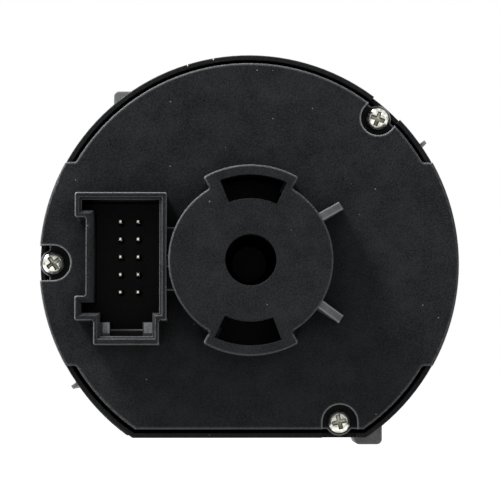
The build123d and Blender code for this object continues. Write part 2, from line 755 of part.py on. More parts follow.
# Thumbwheels with their axles, and the sensors that read them
for name, side in (("dimmer", 1), ("level", -1)):
    with BuildPart() as wheel:
        with BuildSketch(Plane.XY.offset(wheel_bottom)):
            with Locations((side * wheel_offset, wheel_setback)):
                Circle(wheel_radius)
                with PolarLocations(wheel_radius, wheel_teeth):
                    Rectangle(2 * tooth_depth, 2 * tooth_depth, rotation=45, mode=Mode.SUBTRACT)
                Circle(axle_radius, mode=Mode.SUBTRACT)
        extrude(amount=wheel_thickness)
    wheel.part.label = f"{name}_wheel"
    export_step(wheel.part, f"parts/{name}_wheel.step")
    with BuildPart() as axle:
        with BuildSketch(Plane.XY.offset(shelf_bottom)):
            with Locations((side * wheel_offset, wheel_setback)):
                Circle(axle_radius)
        extrude(amount=upper_shelf_top - shelf_bottom + sensor_height / 2)
    axle.part.label = f"{name}_axle"
    export_step(axle.part, f"parts/{name}_axle.step")
    with BuildPart() as sensor:
        with BuildSketch(Plane.XY.offset(upper_shelf_top)):
            middle, half = side * wheel_offset, sensor_size / 2
            block((middle - half, middle + half), (-shelf_reach, wheel_setback + half))
            with Locations((middle, wheel_setback)):
                Circle(axle_radius + running_gap, mode=Mode.SUBTRACT)
        extrude(amount=sensor_height)
    sensor.part.label = f"{name}_sensor"
    export_step(sensor.part, f"parts/{name}_sensor.step")

# Circuit board, notched round the screw bosses
with BuildPart() as circuit_board:
    with BuildSketch(depth(board_front)):
        d_outline(board_radius, board_flat)
        Circle(board_bore, mode=Mode.SUBTRACT)
        with Locations(*[(x, z) for x, z, open_to in screw_places]):
            Circle(pocket_radius + cover_skirt_wall, mode=Mode.SUBTRACT)
        with Locations(*[(x, z) for x in pin_columns for z in pin_heights]):
            Rectangle(pin_width + fit_gap, pin_width + fit_gap, mode=Mode.SUBTRACT)
    rearward(board_thickness)
circuit_board.part.label = "circuit_board"
export_step(circuit_board.part, "parts/circuit_board.step")

with BuildPart() as controller_chip:
    with BuildSketch(depth(board_back)):
        with Locations(chip_place):
            Rectangle(chip_size, chip_size)
    rearward(chip_height)
    chamfer(controller_chip.faces().sort_by(Axis.Y)[-1].edges(), chip_height / 5)
controller_chip.part.label = "controller_chip"
export_step(controller_chip.part, "parts/controller_chip.step")

for number, angle in enumerate(guide_leg_angles, 1):
    with BuildPart() as led:
        with BuildSketch(depth(board_front - led_height)):
            with Locations(from_top(guide_leg_reach, angle)):
                Rectangle(led_size, led_size)
        rearward(led_height)
    led.part.label = f"led_{number}"
    export_step(led.part, f"parts/led_{number}.step")

# Header and the contact pins through it
with BuildPart() as pin_header:
    with BuildSketch(depth(board_back)):
        reach = pin_width / 2 + header_margin
        header_sides = (pin_columns[0] - reach, pin_columns[-1] + reach)
        block(header_sides, (pin_heights[0] - reach, pin_heights[-1] + reach))
        with Locations(*[(x, z) for x in pin_columns for z in pin_heights]):
            Rectangle(pin_width, pin_width, mode=Mode.SUBTRACT)
    rearward(header_height)
pin_header.part.label = "pin_header"
export_step(pin_header.part, "parts/pin_header.step")

for number, (x, z) in enumerate([(x, z) for x in pin_columns for z in pin_heights], 1):
    with BuildPart() as contact_pin:
        with BuildSketch(depth(pin_start)):
            with Locations((x, z)):
                Rectangle(pin_width, pin_width)
        rearward(pin_tip - pin_start)
        chamfer(contact_pin.faces().sort_by(Axis.Y)[-1].edges(), pin_width / 4)
    contact_pin.part.label = f"contact_pin_{number}"
    export_step(contact_pin.part, f"parts/contact_pin_{number}.step")

# Rear cover: plate, boss with its ears and slots, connector shroud and screw eyes in one moulding
with BuildPart() as rear_cover:
    with BuildSketch(depth(cover_inner)):
        d_outline(cover_radius, cover_flat)
    rearward(cover_thickness)
    with BuildSketch(depth(cover_inner - cover_skirt_length)):
        d_outline(cover_radius, cover_flat)
        d_outline(cover_radius - cover_skirt_wall, cover_flat - cover_skirt_wall, Mode.SUBTRACT)
        with Locations(*[(x, z) for x, z, open_to in screw_places]):
            Circle(pocket_radius, mode=Mode.SUBTRACT)
    rearward(cover_skirt_length)
    with BuildSketch(depth(body_length)) as lands:
        d_outline(body_radius, body_flat)
        with Locations((0, (land_top + land_bottom) / 2)):
            Rectangle(2 * body_radius, land_top - land_bottom, mode=Mode.INTERSECT)
        d_outline(cover_radius, cover_flat)
        inner = [v for v in lands.vertices() if cover_flat < hypot(v.X, v.Y) < body_radius - land_corner]
        fillet([v for v in inner if v.Y > -cover_flat + land_corner], land_corner)
    rearward(cover_outer - body_length)
    plate_edges = rear_cover.faces().filter_by(Axis.Y).sort_by(Axis.Y)[-1].edges()
    fillet(plate_edges, cover_edge)
    # Cups and eyes for the screws
    with BuildSketch(depth(eye_back)):
        with Locations(*[(x, z) for x, z, open_to in screw_places]):
            Circle(pocket_radius + cover_skirt_wall)
        d_outline(cover_radius, cover_flat, Mode.INTERSECT)
        with Locations(*[(x, z) for x, z, open_to in screw_places]):
            Circle(eye_radius)
    rearward(cover_inner - eye_back)
    for x, z, open_to in screw_places:
        with BuildSketch(depth(screw_seat)):
            with Locations(Location((x, z, 0), (0, 0, open_to))):
                Circle(pocket_radius)
                with Locations((pocket_radius, 0)):
                    Rectangle(2 * pocket_radius, 2 * pocket_radius)
        rearward(cover_outer - screw_seat, Mode.SUBTRACT)
        with BuildSketch(depth(eye_back)):
            with Locations((x, z)):
                Circle(screw_shank_radius + slide_gap)
        rearward(screw_seat - eye_back, Mode.SUBTRACT)
    # Boss with its two ears, the sleeve inside and the gussets beside it
    with BuildSketch(depth(cover_outer)) as boss_outline:
        Circle(boss_radius)
        for middle in ear_directions:
            sector(boss_bore, ear_radius, middle, ear_half_angle)
        fillet(boss_outline.vertices(), ear_corner)
    rearward(boss_height)
    fillet(rear_cover.faces().sort_by(Axis.Y)[-1].outer_wire().edges(), boss_fillet)
    for side in (-1, 1):
        with BuildSketch(fore_and_aft(180 + side * gusset_angle)):
            with BuildLine():
                Polyline(
                    (boss_radius - boss_wall / 2, cover_inner),
                    (gusset_reach, cover_inner),
                    (gusset_reach, cover_outer + gusset_end_height),
                    (boss_radius - boss_wall / 2, cover_outer + gusset_height),
                    close=True,
                )
            make_face()
        extrude(amount=gusset_width / 2, both=True)
    with BuildSketch(depth(cover_outer)):
        block((boss_radius - boss_wall, shroud_near + shroud_wall / 2), (bridge_bottom, bridge_top))
    rearward(bridge_height)
    with BuildSketch(depth(cover_outer)):
        block((boss_radius - boss_wall, shroud_near + shroud_wall / 2), (tie_bottom, tie_top))
    rearward(shroud_height - tie_drop)
    # Connector shroud
    with BuildSketch(depth(cover_outer)) as shroud_outline:
        block((shroud_near, shroud_far), (shroud_bottom, shroud_top))
        block((shroud_far, shroud_far + key_depth), upper_key)
        block((shroud_far, shroud_far + key_depth), lower_key)
        block(latch_sides, (latch_bottom, shroud_bottom))
        fillet(shroud_outline.vertices(), shroud_corner)
    rearward(shroud_height)
    fillet(flat_faces_at(rear_cover, shroud_top_depth)[0].outer_wire().edges(), shroud_edge)
    with BuildSketch(depth(cover_outer)):
        mouth_sides = (shroud_near + shroud_wall, shroud_far - shroud_far_wall)
        block(mouth_sides, (shroud_bottom + shroud_wall, shroud_top - shroud_wall))
        for notch in (upper_notch, lower_notch):
            block((mouth_sides[1], shroud_far + key_depth - key_wall), notch)
        latch_inner = (latch_sides[0] + latch_side_wall, latch_sides[1] - latch_side_wall)
        block(latch_inner, (latch_bottom + latch_wall, shroud_bottom + shroud_wall))
    rearward(shroud_height, Mode.SUBTRACT)
    mouth = flat_faces_at(rear_cover, shroud_top_depth)[0].inner_wires()[0]
    chamfer(mouth.edges(), mouth_chamfer)
    with BuildSketch(depth(cover_outer)):
        for edge, inward in ((latch_inner[0], shoulder_width), (latch_inner[1], -shoulder_width)):
            block(sorted((edge, edge + inward)), (latch_bottom + latch_wall, shoulder_top))
    rearward(shroud_height - shoulder_drop)
    with BuildSketch(depth(cover_outer)):
        block(latch_inner, (latch_bottom + latch_wall, ledge_top))
    rearward(shroud_height - ledge_drop)
    with BuildSketch(depth(cover_inner)):
        with Locations(*[(x, z) for x in pin_columns for z in pin_heights]):
            Rectangle(pin_width + 2 * fit_gap, pin_width + 2 * fit_gap)
    rearward(cover_thickness, Mode.SUBTRACT)
    # Hollow of the boss, its slots and the sleeve
    with BuildSketch(depth(cover_inner)):
        Circle(boss_radius - boss_wall)
        for middle in ear_directions:
            sector(boss_bore, slot_outer + fit_gap, middle - slot_turn, slot_half_angle + slot_turn)
    rearward(boss_height - boss_roof + cover_thickness, Mode.SUBTRACT)
    with BuildSketch(depth(boss_top - boss_roof)):
        for middle in ear_directions:
            sector(slot_inner, slot_outer, middle + slot_turn, slot_half_angle)
    rearward(boss_roof, Mode.SUBTRACT)
    with BuildSketch(depth(sleeve_front)):
        Circle(boss_bore + sleeve_wall)
    rearward(sleeve_length)
    with BuildSketch(depth(sleeve_front)):
        Circle(boss_bore)
    rearward(sleeve_length, Mode.SUBTRACT)
    # Posts that press on the board
    with BuildSketch(depth(board_back)):
        with PolarLocations(post_circle, len(post_angles), post_angles[0]):
            Circle(post_radius)
    rearward(cover_inner - board_back)
rear_cover.part.label = "rear_cover"
export_step(rear_cover.part, "parts/rear_cover.step")

# Cover screws, three alike in one group
with BuildPart() as cover_screws:
    places = [(x, z) for x, z, open_to in screw_places]
    with BuildSketch(depth(screw_seat)):
        with Locations(*places):
            Circle(screw_head_radius)
    rearward(screw_head_height)
    heads = cover_screws.faces().filter_by(Axis.Y).group_by(Axis.Y)[-1]
    chamfer(heads.edges(), screw_head_height / 4, screw_head_height / 2)
    with BuildSketch(depth(screw_seat + screw_head_height - screw_cross_depth)):
        with Locations(*places):
            Rectangle(screw_cross_length, screw_cross_width)
            Rectangle(screw_cross_width, screw_cross_length)
    rearward(screw_cross_depth, Mode.SUBTRACT)
    with BuildSketch(depth(screw_seat)):
        with Locations(*places):
            Circle(screw_shank_radius)
    extrude(amount=screw_length)
cover_screws.part.label = "cover_screws"
export_step(cover_screws.part, "parts/cover_screws.step")
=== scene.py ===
import json
import math

import bpy
import numpy as np
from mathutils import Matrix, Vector


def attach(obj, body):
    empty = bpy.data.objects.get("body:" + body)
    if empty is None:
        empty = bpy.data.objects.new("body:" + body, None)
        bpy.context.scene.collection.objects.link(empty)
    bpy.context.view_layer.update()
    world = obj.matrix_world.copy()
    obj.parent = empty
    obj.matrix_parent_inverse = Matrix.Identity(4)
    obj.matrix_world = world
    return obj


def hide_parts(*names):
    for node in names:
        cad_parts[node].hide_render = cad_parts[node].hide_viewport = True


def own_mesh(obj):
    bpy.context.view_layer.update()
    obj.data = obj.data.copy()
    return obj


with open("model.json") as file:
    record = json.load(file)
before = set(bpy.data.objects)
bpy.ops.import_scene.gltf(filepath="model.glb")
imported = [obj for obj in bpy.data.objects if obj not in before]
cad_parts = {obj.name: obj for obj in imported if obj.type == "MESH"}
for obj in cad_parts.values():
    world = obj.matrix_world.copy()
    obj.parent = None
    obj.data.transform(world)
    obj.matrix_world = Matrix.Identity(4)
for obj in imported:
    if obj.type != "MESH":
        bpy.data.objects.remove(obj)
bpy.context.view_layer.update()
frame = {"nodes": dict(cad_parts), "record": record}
nodes = frame["nodes"]
mm = 0.001
print("frame loaded,", len(nodes), "nodes")


# meshes

def meshPiece(name, verts, faces, body, material, smooth=True):
    # one object at the origin, its place in its mesh
    data = bpy.data.meshes.new(name)
    data.from_pydata(np.asarray(verts, float).tolist(), [], [list(map(int, face)) for face in faces])
    data.update()
    data.polygons.foreach_set("use_smooth", [smooth] * len(data.polygons))
    data.materials.append(material)
    piece = bpy.data.objects.new(name, data)
    bpy.context.scene.collection.objects.link(piece)
    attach(piece, body)
    return piece


def tubeFaces(rows, around, ringShaped=False):
    # quads between neighbouring points of rows that each close on themselves; a tube that isn't
    # ring-shaped gets one polygon at each end
    rr, cc = np.meshgrid(np.arange(rows if ringShaped else rows - 1), np.arange(around), indexing="ij")
    below, right = (rr + 1) % rows, (cc + 1) % around
    quads = [rr * around + cc, rr * around + right, below * around + right, below * around + cc]
    faces = np.stack(quads, -1).reshape(-1, 4).tolist()
    if not ringShaped:
        last = (rows - 1) * around
        faces += [list(range(around))[::-1], [last + i for i in range(around)]]
    return faces


def joined(parts):
    # several (points, faces) pairs as one
    verts, faces, start = [], [], 0
    for points, polygons in parts:
        verts.append(points)
        faces += [[int(i) + start for i in polygon] for polygon in polygons]
        start += len(points)
    return np.vstack(verts), faces


# shader groups

# the bevel is this share of the width of the edge band
shading = {"occlusionSamples": 8, "bevelSamples": 6, "bevelShare": 0.6}


def newGroup(name, inputs, outputs):
    # the inputs are numbers with their defaults, the outputs numbers too, apart from one called Normal
    group = bpy.data.node_groups.new(name, "ShaderNodeTree")
    for label, value in inputs.items():
        socket = group.interface.new_socket(label, in_out="INPUT", socket_type="NodeSocketFloat")
        socket.default_value = value
    for label in outputs:
        socketKind = "NodeSocketVector" if label == "Normal" else "NodeSocketFloat"
        group.interface.new_socket(label, in_out="OUTPUT", socket_type=socketKind)
    return group, group.nodes.new("NodeGroupInput"), group.nodes.new("NodeGroupOutput")


def addNode(tree, kind, settings=None, **inputs):
    made = tree.nodes.new(kind)
    for key, value in (settings or {}).items():
        setattr(made, key, value)
    for key, value in inputs.items():
        made.inputs[key.replace("_", " ")].default_value = value
    return made


def feed(tree, socket, value):
    # a constant is written on the socket, anything else is linked to it
    if isinstance(value, (int, float, tuple)):
        socket.default_value = value
    else:
        tree.links.new(value, socket)


def mathNode(tree, operation, *values, clamp=False):
    made = addNode(tree, "ShaderNodeMath", {"operation": operation, "use_clamp": clamp})
    for socket, value in zip(made.inputs, values):
        feed(tree, socket, value)
    return made.outputs[0]


def mixColours(tree, factor, first, second):
    made = addNode(tree, "ShaderNodeMix", {"data_type": "RGBA"})
    for index, value in ((0, factor), (6, first), (7, second)):
        feed(tree, made.inputs[index], value)
    return made.outputs[2]


def grainGroup():
    # moulded grain: fine sparkle, and clouds many times its size
    inputs = {"Grain Scale": 3200.0, "Cloud Scale": 60.0}
    group, into, out = newGroup("mouldedGrain", inputs, ["Height", "Cloud", "Sparkle"])
    place = addNode(group, "ShaderNodeTexCoord").outputs["Object"]
    fine = addNode(group, "ShaderNodeTexNoise", Detail=2.0, Roughness=0.7)
    cloud = addNode(group, "ShaderNodeTexNoise", Detail=4.0, Roughness=0.6)
    for texture, scale in ((fine, "Grain Scale"), (cloud, "Cloud Scale")):
        group.links.new(place, texture.inputs["Vector"])
        group.links.new(into.outputs[scale], texture.inputs["Scale"])
    group.links.new(fine.outputs["Fac"], out.inputs["Height"])
    for texture, label in ((cloud, "Cloud"), (fine, "Sparkle")):
        centred = mathNode(group, "MULTIPLY_ADD", texture.outputs["Fac"], 2.0, -1.0)
        group.links.new(centred, out.inputs[label])
    return group


def edgeGroup():
    # outer edges only: looking into the material, a near face closes the view there
    group, into, out = newGroup("edgeBand", {"Radius": 0.0003, "Gain": 3.0}, ["Edge", "Normal"])
    settings = {"inside": True, "only_local": True, "samples": shading["occlusionSamples"]}
    inside = addNode(group, "ShaderNodeAmbientOcclusion", settings)
    group.links.new(into.outputs["Radius"], inside.inputs["Distance"])
    closed = mathNode(group, "SUBTRACT", 1.0, inside.outputs["AO"])
    gained = mathNode(group, "MULTIPLY", closed, into.outputs["Gain"], clamp=True)
    group.links.new(gained, out.inputs["Edge"])
    bevel = addNode(group, "ShaderNodeBevel", {"samples": shading["bevelSamples"]})
    rounding = mathNode(group, "MULTIPLY", into.outputs["Radius"], shading["bevelShare"])
    group.links.new(rounding, bevel.inputs["Radius"])
    group.links.new(bevel.outputs["Normal"], out.inputs["Normal"])
    return group


def recessGroup():
    # open faces 1, deep corners and hollows towards 0
    group, into, out = newGroup("recessShade", {"Reach": 0.006, "Power": 1.5}, ["Shade"])
    outside = addNode(group, "ShaderNodeAmbientOcclusion", {"samples": shading["occlusionSamples"]})
    group.links.new(into.outputs["Reach"], outside.inputs["Distance"])
    shade = mathNode(group, "POWER", outside.outputs["AO"], into.outputs["Power"])
    group.links.new(shade, out.inputs["Shade"])
    return group


def dustGroup():
    # sparse round specks: the middles of a few cells of a point pattern
    group, into, out = newGroup("dustSpecks", {"Scale": 260.0, "Share": 0.06, "Size": 0.1}, ["Mask"])
    place = addNode(group, "ShaderNodeTexCoord").outputs["Object"]
    cells = addNode(group, "ShaderNodeTexVoronoi", {"feature": "F1"})
    group.links.new(place, cells.inputs["Vector"])
    group.links.new(into.outputs["Scale"], cells.inputs["Scale"])
    near = mathNode(group, "LESS_THAN", cells.outputs["Distance"], into.outputs["Size"])
    split = addNode(group, "ShaderNodeSeparateColor")
    group.links.new(cells.outputs["Color"], split.inputs[0])
    chosen = mathNode(group, "LESS_THAN", split.outputs[0], into.outputs["Share"])
    group.links.new(mathNode(group, "MULTIPLY", near, chosen), out.inputs["Mask"])
    return group


def patchGroup():
    # two equal upright rectangles at the same distance to the left and right of a middle line, seen along y
    inputs = {"Middle": 0.0, "Apart": 0.003, "Half Width": 0.001, "Height": 0.0, "Half Height": 0.001}
    group, into, out = newGroup("patchPair", inputs, ["Mask"])
    split = addNode(group, "ShaderNodeSeparateXYZ")
    group.links.new(addNode(group, "ShaderNodeTexCoord").outputs["Object"], split.inputs[0])
    fromMiddle = mathNode(group, "SUBTRACT", split.outputs["X"], into.outputs["Middle"])
    side = mathNode(group, "ABSOLUTE", fromMiddle)
    across = mathNode(group, "COMPARE", side, into.outputs["Apart"], into.outputs["Half Width"])
    height = into.outputs["Height"]
    upright = mathNode(group, "COMPARE", split.outputs["Z"], height, into.outputs["Half Height"])
    group.links.new(mathNode(group, "MULTIPLY", across, upright), out.inputs["Mask"])
    return group


groups = {"grain": grainGroup(), "edge": edgeGroup(), "recess": recessGroup(), "dust": dustGroup(),
          "patches": patchGroup()}


def placeGroup(tree, key, **values):
    made = addNode(tree, "ShaderNodeGroup", {"node_tree": groups[key]})
    for label, value in values.items():
        made.inputs[label.replace("_", " ")].default_value = value
    return made


def grey(level, warmth=0.0):
    return (level * (1 + warmth), level * (1 + 0.25 * warmth), level * (1 - warmth), 1.0)


# materials

def newMaterial(name):
    material = bpy.data.materials.new(name)
    material.use_nodes = True
    return material, material.node_tree, material.node_tree.nodes["Principled BSDF"]


def mouldedPlastic(name, base, **changes):
    # textured moulding: cloudy colour with grain, painted shade in hollows, painted highlights on outer
    # edges, a few dust specks
    look = {**base, **changes}
    material, tree, shader = newMaterial(name)
    shader.inputs["Specular IOR Level"].default_value = look["specular"]
    grain = placeGroup(tree, "grain", Grain_Scale=look["grainScale"], Cloud_Scale=look["cloudScale"])
    clouds = mathNode(tree, "MULTIPLY_ADD", grain.outputs["Cloud"], look["cloudShare"], 1.0)
    level = mathNode(tree, "MULTIPLY_ADD", grain.outputs["Sparkle"], look["sparkle"], clouds)
    level = mathNode(tree, "MAXIMUM", level, look["darkest"])
    # painted shade: the colour darkens in hollows and deep corners
    recess = placeGroup(tree, "recess", Reach=look["recessReach"], Power=look["recessPower"])
    level = mathNode(tree, "MULTIPLY", level, recess.outputs["Shade"])
    if "patches" in look:
        patches = placeGroup(tree, "patches", **look["patches"])
        gain = mathNode(tree, "MULTIPLY_ADD", patches.outputs["Mask"], look["patchGain"], 1.0)
        level = mathNode(tree, "MULTIPLY", level, gain)
    body = addNode(tree, "ShaderNodeVectorMath", {"operation": "SCALE"})
    body.inputs[0].default_value = look["colour"][:3]
    tree.links.new(level, body.inputs["Scale"])
    # painted highlight: outer edges are mixed towards the edge colour, broken up by the grain
    edge = placeGroup(tree, "edge", Radius=look["edgeRadius"], Gain=look["edgeGain"])
    edgeHighlight = mathNode(tree, "MULTIPLY_ADD", grain.outputs["Sparkle"], look["highlightBreakup"], 1.0)
    edgeHighlight = mathNode(tree, "MULTIPLY", edge.outputs["Edge"], edgeHighlight, clamp=True)
    colour = mixColours(tree, edgeHighlight, body.outputs[0], look["edgeColour"])
    if look["dust"]:
        dust = placeGroup(tree, "dust", **look["dust"])
        colour = mixColours(tree, dust.outputs["Mask"], colour, look["dustColour"])
    tree.links.new(colour, shader.inputs["Base Color"])
    rough = mathNode(tree, "MULTIPLY_ADD", grain.outputs["Sparkle"], look["roughVary"], look["roughness"])
    tree.links.new(rough, shader.inputs["Roughness"])
    bump = addNode(tree, "ShaderNodeBump", Strength=look["bump"], Distance=look["bumpDepth"])
    tree.links.new(grain.outputs["Height"], bump.inputs["Height"])
    tree.links.new(edge.outputs["Normal"], bump.inputs["Normal"])
    tree.links.new(bump.outputs["Normal"], shader.inputs["Normal"])
    return material


def metal(name, base, **changes):
    # plated or drawn metal: mottled brightness and roughness, painted shade in hollows
    look = {**base, **changes}
    material, tree, shader = newMaterial(name)
    shader.inputs["Metallic"].default_value = 1.0
    grain = placeGroup(tree, "grain", Grain_Scale=look["grainScale"], Cloud_Scale=look["cloudScale"])
    mottle = mathNode(tree, "MULTIPLY_ADD", grain.outputs["Cloud"], look["mottle"], 0.5, clamp=True)
    # painted shade: the colour goes towards the hollow colour in hollows and deep corners
    recess = placeGroup(tree, "recess", Reach=look["recessReach"], Power=look["recessPower"])
    colour = mixColours(tree, mottle, look["dark"], look["light"])
    shaded = mixColours(tree, recess.outputs["Shade"], look["hollow"], colour)
    tree.links.new(shaded, shader.inputs["Base Color"])
    rough = mathNode(tree, "MULTIPLY_ADD", grain.outputs["Height"], look["roughVary"], look["roughness"])
    tree.links.new(rough, shader.inputs["Roughness"])
    bump = addNode(tree, "ShaderNodeBump", Strength=look["bump"], Distance=look["bumpDepth"])
    tree.links.new(grain.outputs["Height"], bump.inputs["Height"])
    tree.links.new(bump.outputs["Normal"], shader.inputs["Normal"])
    return material


# the edge colour, radius, gain and the grain's breakup of it set the painted highlight on outer edges;
# recessReach and recessPower set the painted shade in hollows
coverLook = {"colour": grey(0.0155, -0.08), "specular": 0.07, "roughness": 0.5, "roughVary": 0.1,
             "edgeColour": grey(0.26, -0.03), "edgeRadius": 0.00038, "edgeGain": 2.7, "highlightBreakup": 0.8,
             "grainScale": 3200.0, "sparkle": 1.5, "cloudScale": 240.0, "cloudShare": 0.8, "darkest": 0.1,
             "recessReach": 0.004, "recessPower": 0.9, "bump": 0.5, "bumpDepth": 0.00006,
             "dust": {"Scale": 700.0, "Share": 0.08, "Size": 0.085}, "dustColour": grey(0.2)}
caseLook = {**coverLook, "colour": grey(0.011, -0.05), "edgeColour": grey(0.07), "cloudShare": 0.4}
innerLook = {**caseLook, "dust": None, "edgeColour": grey(0.05), "recessReach": 0.012, "recessPower": 2.5}
paleLook = {**innerLook, "roughness": 0.4, "specular": 0.5, "sparkle": 0.1, "cloudShare": 0.1,
            "recessPower": 0.5}
# hollow is the colour of the painted shade in the metal's hollows
steelLook = {"dark": grey(0.35), "light": grey(0.62), "hollow": grey(0.1), "mottle": 1.0,
             "grainScale": 4000.0, "cloudScale": 400.0, "roughness": 0.25, "roughVary": 0.15,
             "bump": 0.1, "bumpDepth": 0.00003, "recessReach": 0.001, "recessPower": 1.0}
zincLook = {**steelLook, "dark": (0.3, 0.29, 0.23, 1.0), "light": (0.97, 0.97, 0.94, 1.0), "mottle": 1.6,
            "hollow": (0.07, 0.065, 0.035, 1.0), "cloudScale": 1300.0, "recessPower": 4.0}
materials = {
    "cover": mouldedPlastic("coverPlastic", coverLook),
    "case": mouldedPlastic("casePlastic", caseLook),
    "trim": mouldedPlastic("bezelPlastic", innerLook, roughness=0.38, recessPower=1.0),
    "carrier": mouldedPlastic("carrierPlastic", innerLook),
    "header": mouldedPlastic("headerPlastic", innerLook, colour=grey(0.01), recessPower=1.0),
    "chip": mouldedPlastic("chipResin", innerLook, roughness=0.6),
    "sensor": mouldedPlastic("sensorPlastic", innerLook, colour=grey(0.03)),
    "shaft": mouldedPlastic("shaftPlastic", innerLook, colour=grey(0.009), edgeColour=grey(0.015),
                            recessPower=1.0),
    "panel": mouldedPlastic("panelGloss", innerLook, specular=0.25, roughness=0.16, bump=0.02, sparkle=0.1),
    "knob": mouldedPlastic("knobSoft", innerLook, colour=grey(0.011), recessPower=0.8),
    "wheel": mouldedPlastic("wheelRubber", innerLook, roughness=0.62, colour=grey(0.014)),
    "lug": mouldedPlastic("lugPlastic", innerLook, colour=grey(0.2), edgeColour=grey(0.27), recessPower=0.6,
                          sparkle=0.5, cloudShare=0.3, bump=0.15),
    "slider": mouldedPlastic("acetal", paleLook, colour=grey(0.5, 0.02), edgeColour=grey(0.6)),
    "rotor": mouldedPlastic("rotorAcetal", paleLook, colour=grey(0.42, 0.02), edgeColour=grey(0.5)),
    "pointer": mouldedPlastic("pointerWhite", paleLook, colour=grey(0.7), edgeColour=grey(0.75)),
    "board": mouldedPlastic("solderMask", innerLook, colour=(0.003, 0.008, 0.005, 1.0), specular=0.06,
                            roughness=0.3, edgeColour=(0.2, 0.19, 0.1, 1.0)),
    "lamp": mouldedPlastic("lampResin", paleLook, colour=(0.8, 0.75, 0.35, 1.0), edgeColour=grey(0.8)),
    "clear": mouldedPlastic("guideAcrylic", paleLook, colour=grey(0.6), edgeColour=grey(0.8),
                            roughness=0.12),
    "sign": mouldedPlastic("printedWhite", paleLook, colour=grey(0.62), edgeGain=0.0, specular=0.3),
    "screws": metal("zincPlate", zincLook),
    "spring": metal("springSteel", steelLook),
    "axle": metal("axleSteel", steelLook, dark=grey(0.4), light=grey(0.66)),
    "knob_trim": metal("satinChrome", steelLook, dark=grey(0.38), light=grey(0.5), cloudScale=90.0),
    "wiper": metal("wiperBrass", steelLook, dark=(0.5, 0.33, 0.12, 1.0), light=(0.85, 0.62, 0.28, 1.0)),
    "pins": metal("tinnedPin", steelLook, dark=(0.5, 0.47, 0.38, 1.0), light=(0.95, 0.92, 0.8, 1.0)),
}
shoulderPatches = {"Middle": 0.02164, "Apart": 0.0036, "Half_Width": 0.00074, "Height": -0.0119,
                   "Half_Height": 0.00092}
# the materials of single faces
faceMaterials = {
    # painted sheen: the gussets' sloped tops are painted pale grey where they catch the light
    "strut": mouldedPlastic("paintedSheenGrey", coverLook, colour=grey(0.14, -0.03), edgeColour=grey(0.34),
                            sparkle=0.3),
    "shoulder": mouldedPlastic("paleGrey", coverLook, colour=grey(0.04, -0.03), recessPower=0.2,
                               edgeGain=0.0, sparkle=0.8, patches=shoulderPatches, patchGain=3.4),
    # painted highlight: the bevel round the connector's mouth is painted a little paler than the top, where
    # it catches the light
    "lip": mouldedPlastic("lipGrey", coverLook, colour=grey(0.028, -0.03), recessPower=0.8, edgeGain=0.0),
    # painted shade: the walls inside the connector's mouth darken strongly towards its floor and corners
    "wall": mouldedPlastic("mouthWall", coverLook, colour=grey(0.03), edgeGain=0.0, recessReach=0.009,
                           recessPower=3.0),
    "rim": mouldedPlastic("rimPlastic", caseLook, edgeGain=0.0),
    "fin": mouldedPlastic("finGrey", caseLook, colour=grey(0.17), edgeColour=grey(0.24), recessPower=0.5),
    "topFace": mouldedPlastic("bossFace", coverLook, edgeGain=0.0),
    # painted shade: the walls of the boss's hole and slots and the floor of the connector's mouth are
    # painted near black
    "hollow": mouldedPlastic("hollowWall", innerLook, colour=grey(0.008), edgeGain=0.0, recessPower=1.0),
    # painted shade: the pins' sides are painted near black, as if in the shadow inside the connector
    "pinSide": metal("paintedShadePin", steelLook, dark=grey(0.02), light=grey(0.05), hollow=grey(0.004),
                     recessReach=0.006, recessPower=2.0, roughness=0.45),
}
slotOf = {part["node"]: part["material_slot"] for part in frame["record"]["subparts"]}
for name, node in nodes.items():
    node.data.materials.clear()
    node.data.materials.append(materials[slotOf[name]])
print("materials on the CAD nodes,", len(materials), "kinds")

# faces of the mouldings and pins that are paler or darker than the rest, by their place in mm; among them
# painted shade in the hollows, in the connector's mouth and on the pins' sides, and painted highlights on
# the gusset struts and the mouth's bevel

facePlaces = {"gussetFrom": 14.7, "gussetTo": 19.6, "gussetAngle": 32.0, "gussetHalfWidth": 0.9,
              "coverFace": 31.6, "shoulderDepth": 42.1, "lipDepths": (42.8, 43.45), "finFrom": 38.05,
              "bossTop": 44.1, "holeRadius": 6.4, "slotRadius": 15.2, "slotFrom": 9.0, "hollowFrom": 22.0,
              "shroudTop": 43.5, "shroudSides": (14.6, 31.0), "shroudEnds": (-15.0, 12.0),
              "mouthSides": (15.5, 30.5), "mouthEnds": (-13.8, 10.9), "rimFrom": 27.0}
# how near to its depth a face lies, in mm, and how far its normal is turned to the rear or outwards,
# where 1 is straight there; directions round the shaft's axis are taken from this radius on
nearness = {"flush": 0.02, "close": 0.05, "loose": 0.3}
axisRadius = 0.1
turned = {"square": 0.99, "mostly": 0.9, "half": 0.5, "hardly": 0.2}


def paintFaces(node, name, test):
    # the test takes every face's centre, normal and two outermost corners as arrays, in mm
    data = nodes[node].data
    count = len(data.polygons)
    centre, normal, start = np.empty(count * 3), np.empty(count * 3), np.empty(count, int)
    data.polygons.foreach_get("center", centre)
    data.polygons.foreach_get("normal", normal)
    data.polygons.foreach_get("loop_start", start)
    corner, place = np.empty(len(data.loops), int), np.empty(len(data.vertices) * 3)
    data.loops.foreach_get("vertex_index", corner)
    data.vertices.foreach_get("co", place)
    corners = place.reshape(-1, 3)[corner] / mm
    low, high = np.minimum.reduceat(corners, start), np.maximum.reduceat(corners, start)
    chosen = test(centre.reshape(-1, 3).T / mm, normal.reshape(-1, 3).T, low.T, high.T)
    index = np.empty(count, int)
    data.polygons.foreach_get("material_index", index)
    data.materials.append(faceMaterials[name])
    index[chosen] = len(data.materials) - 1
    data.polygons.foreach_set("material_index", index)
    print("painted", int(chosen.sum()), "faces of", node, name)


def between(values, limits):
    return (values > limits[0]) & (values < limits[1])


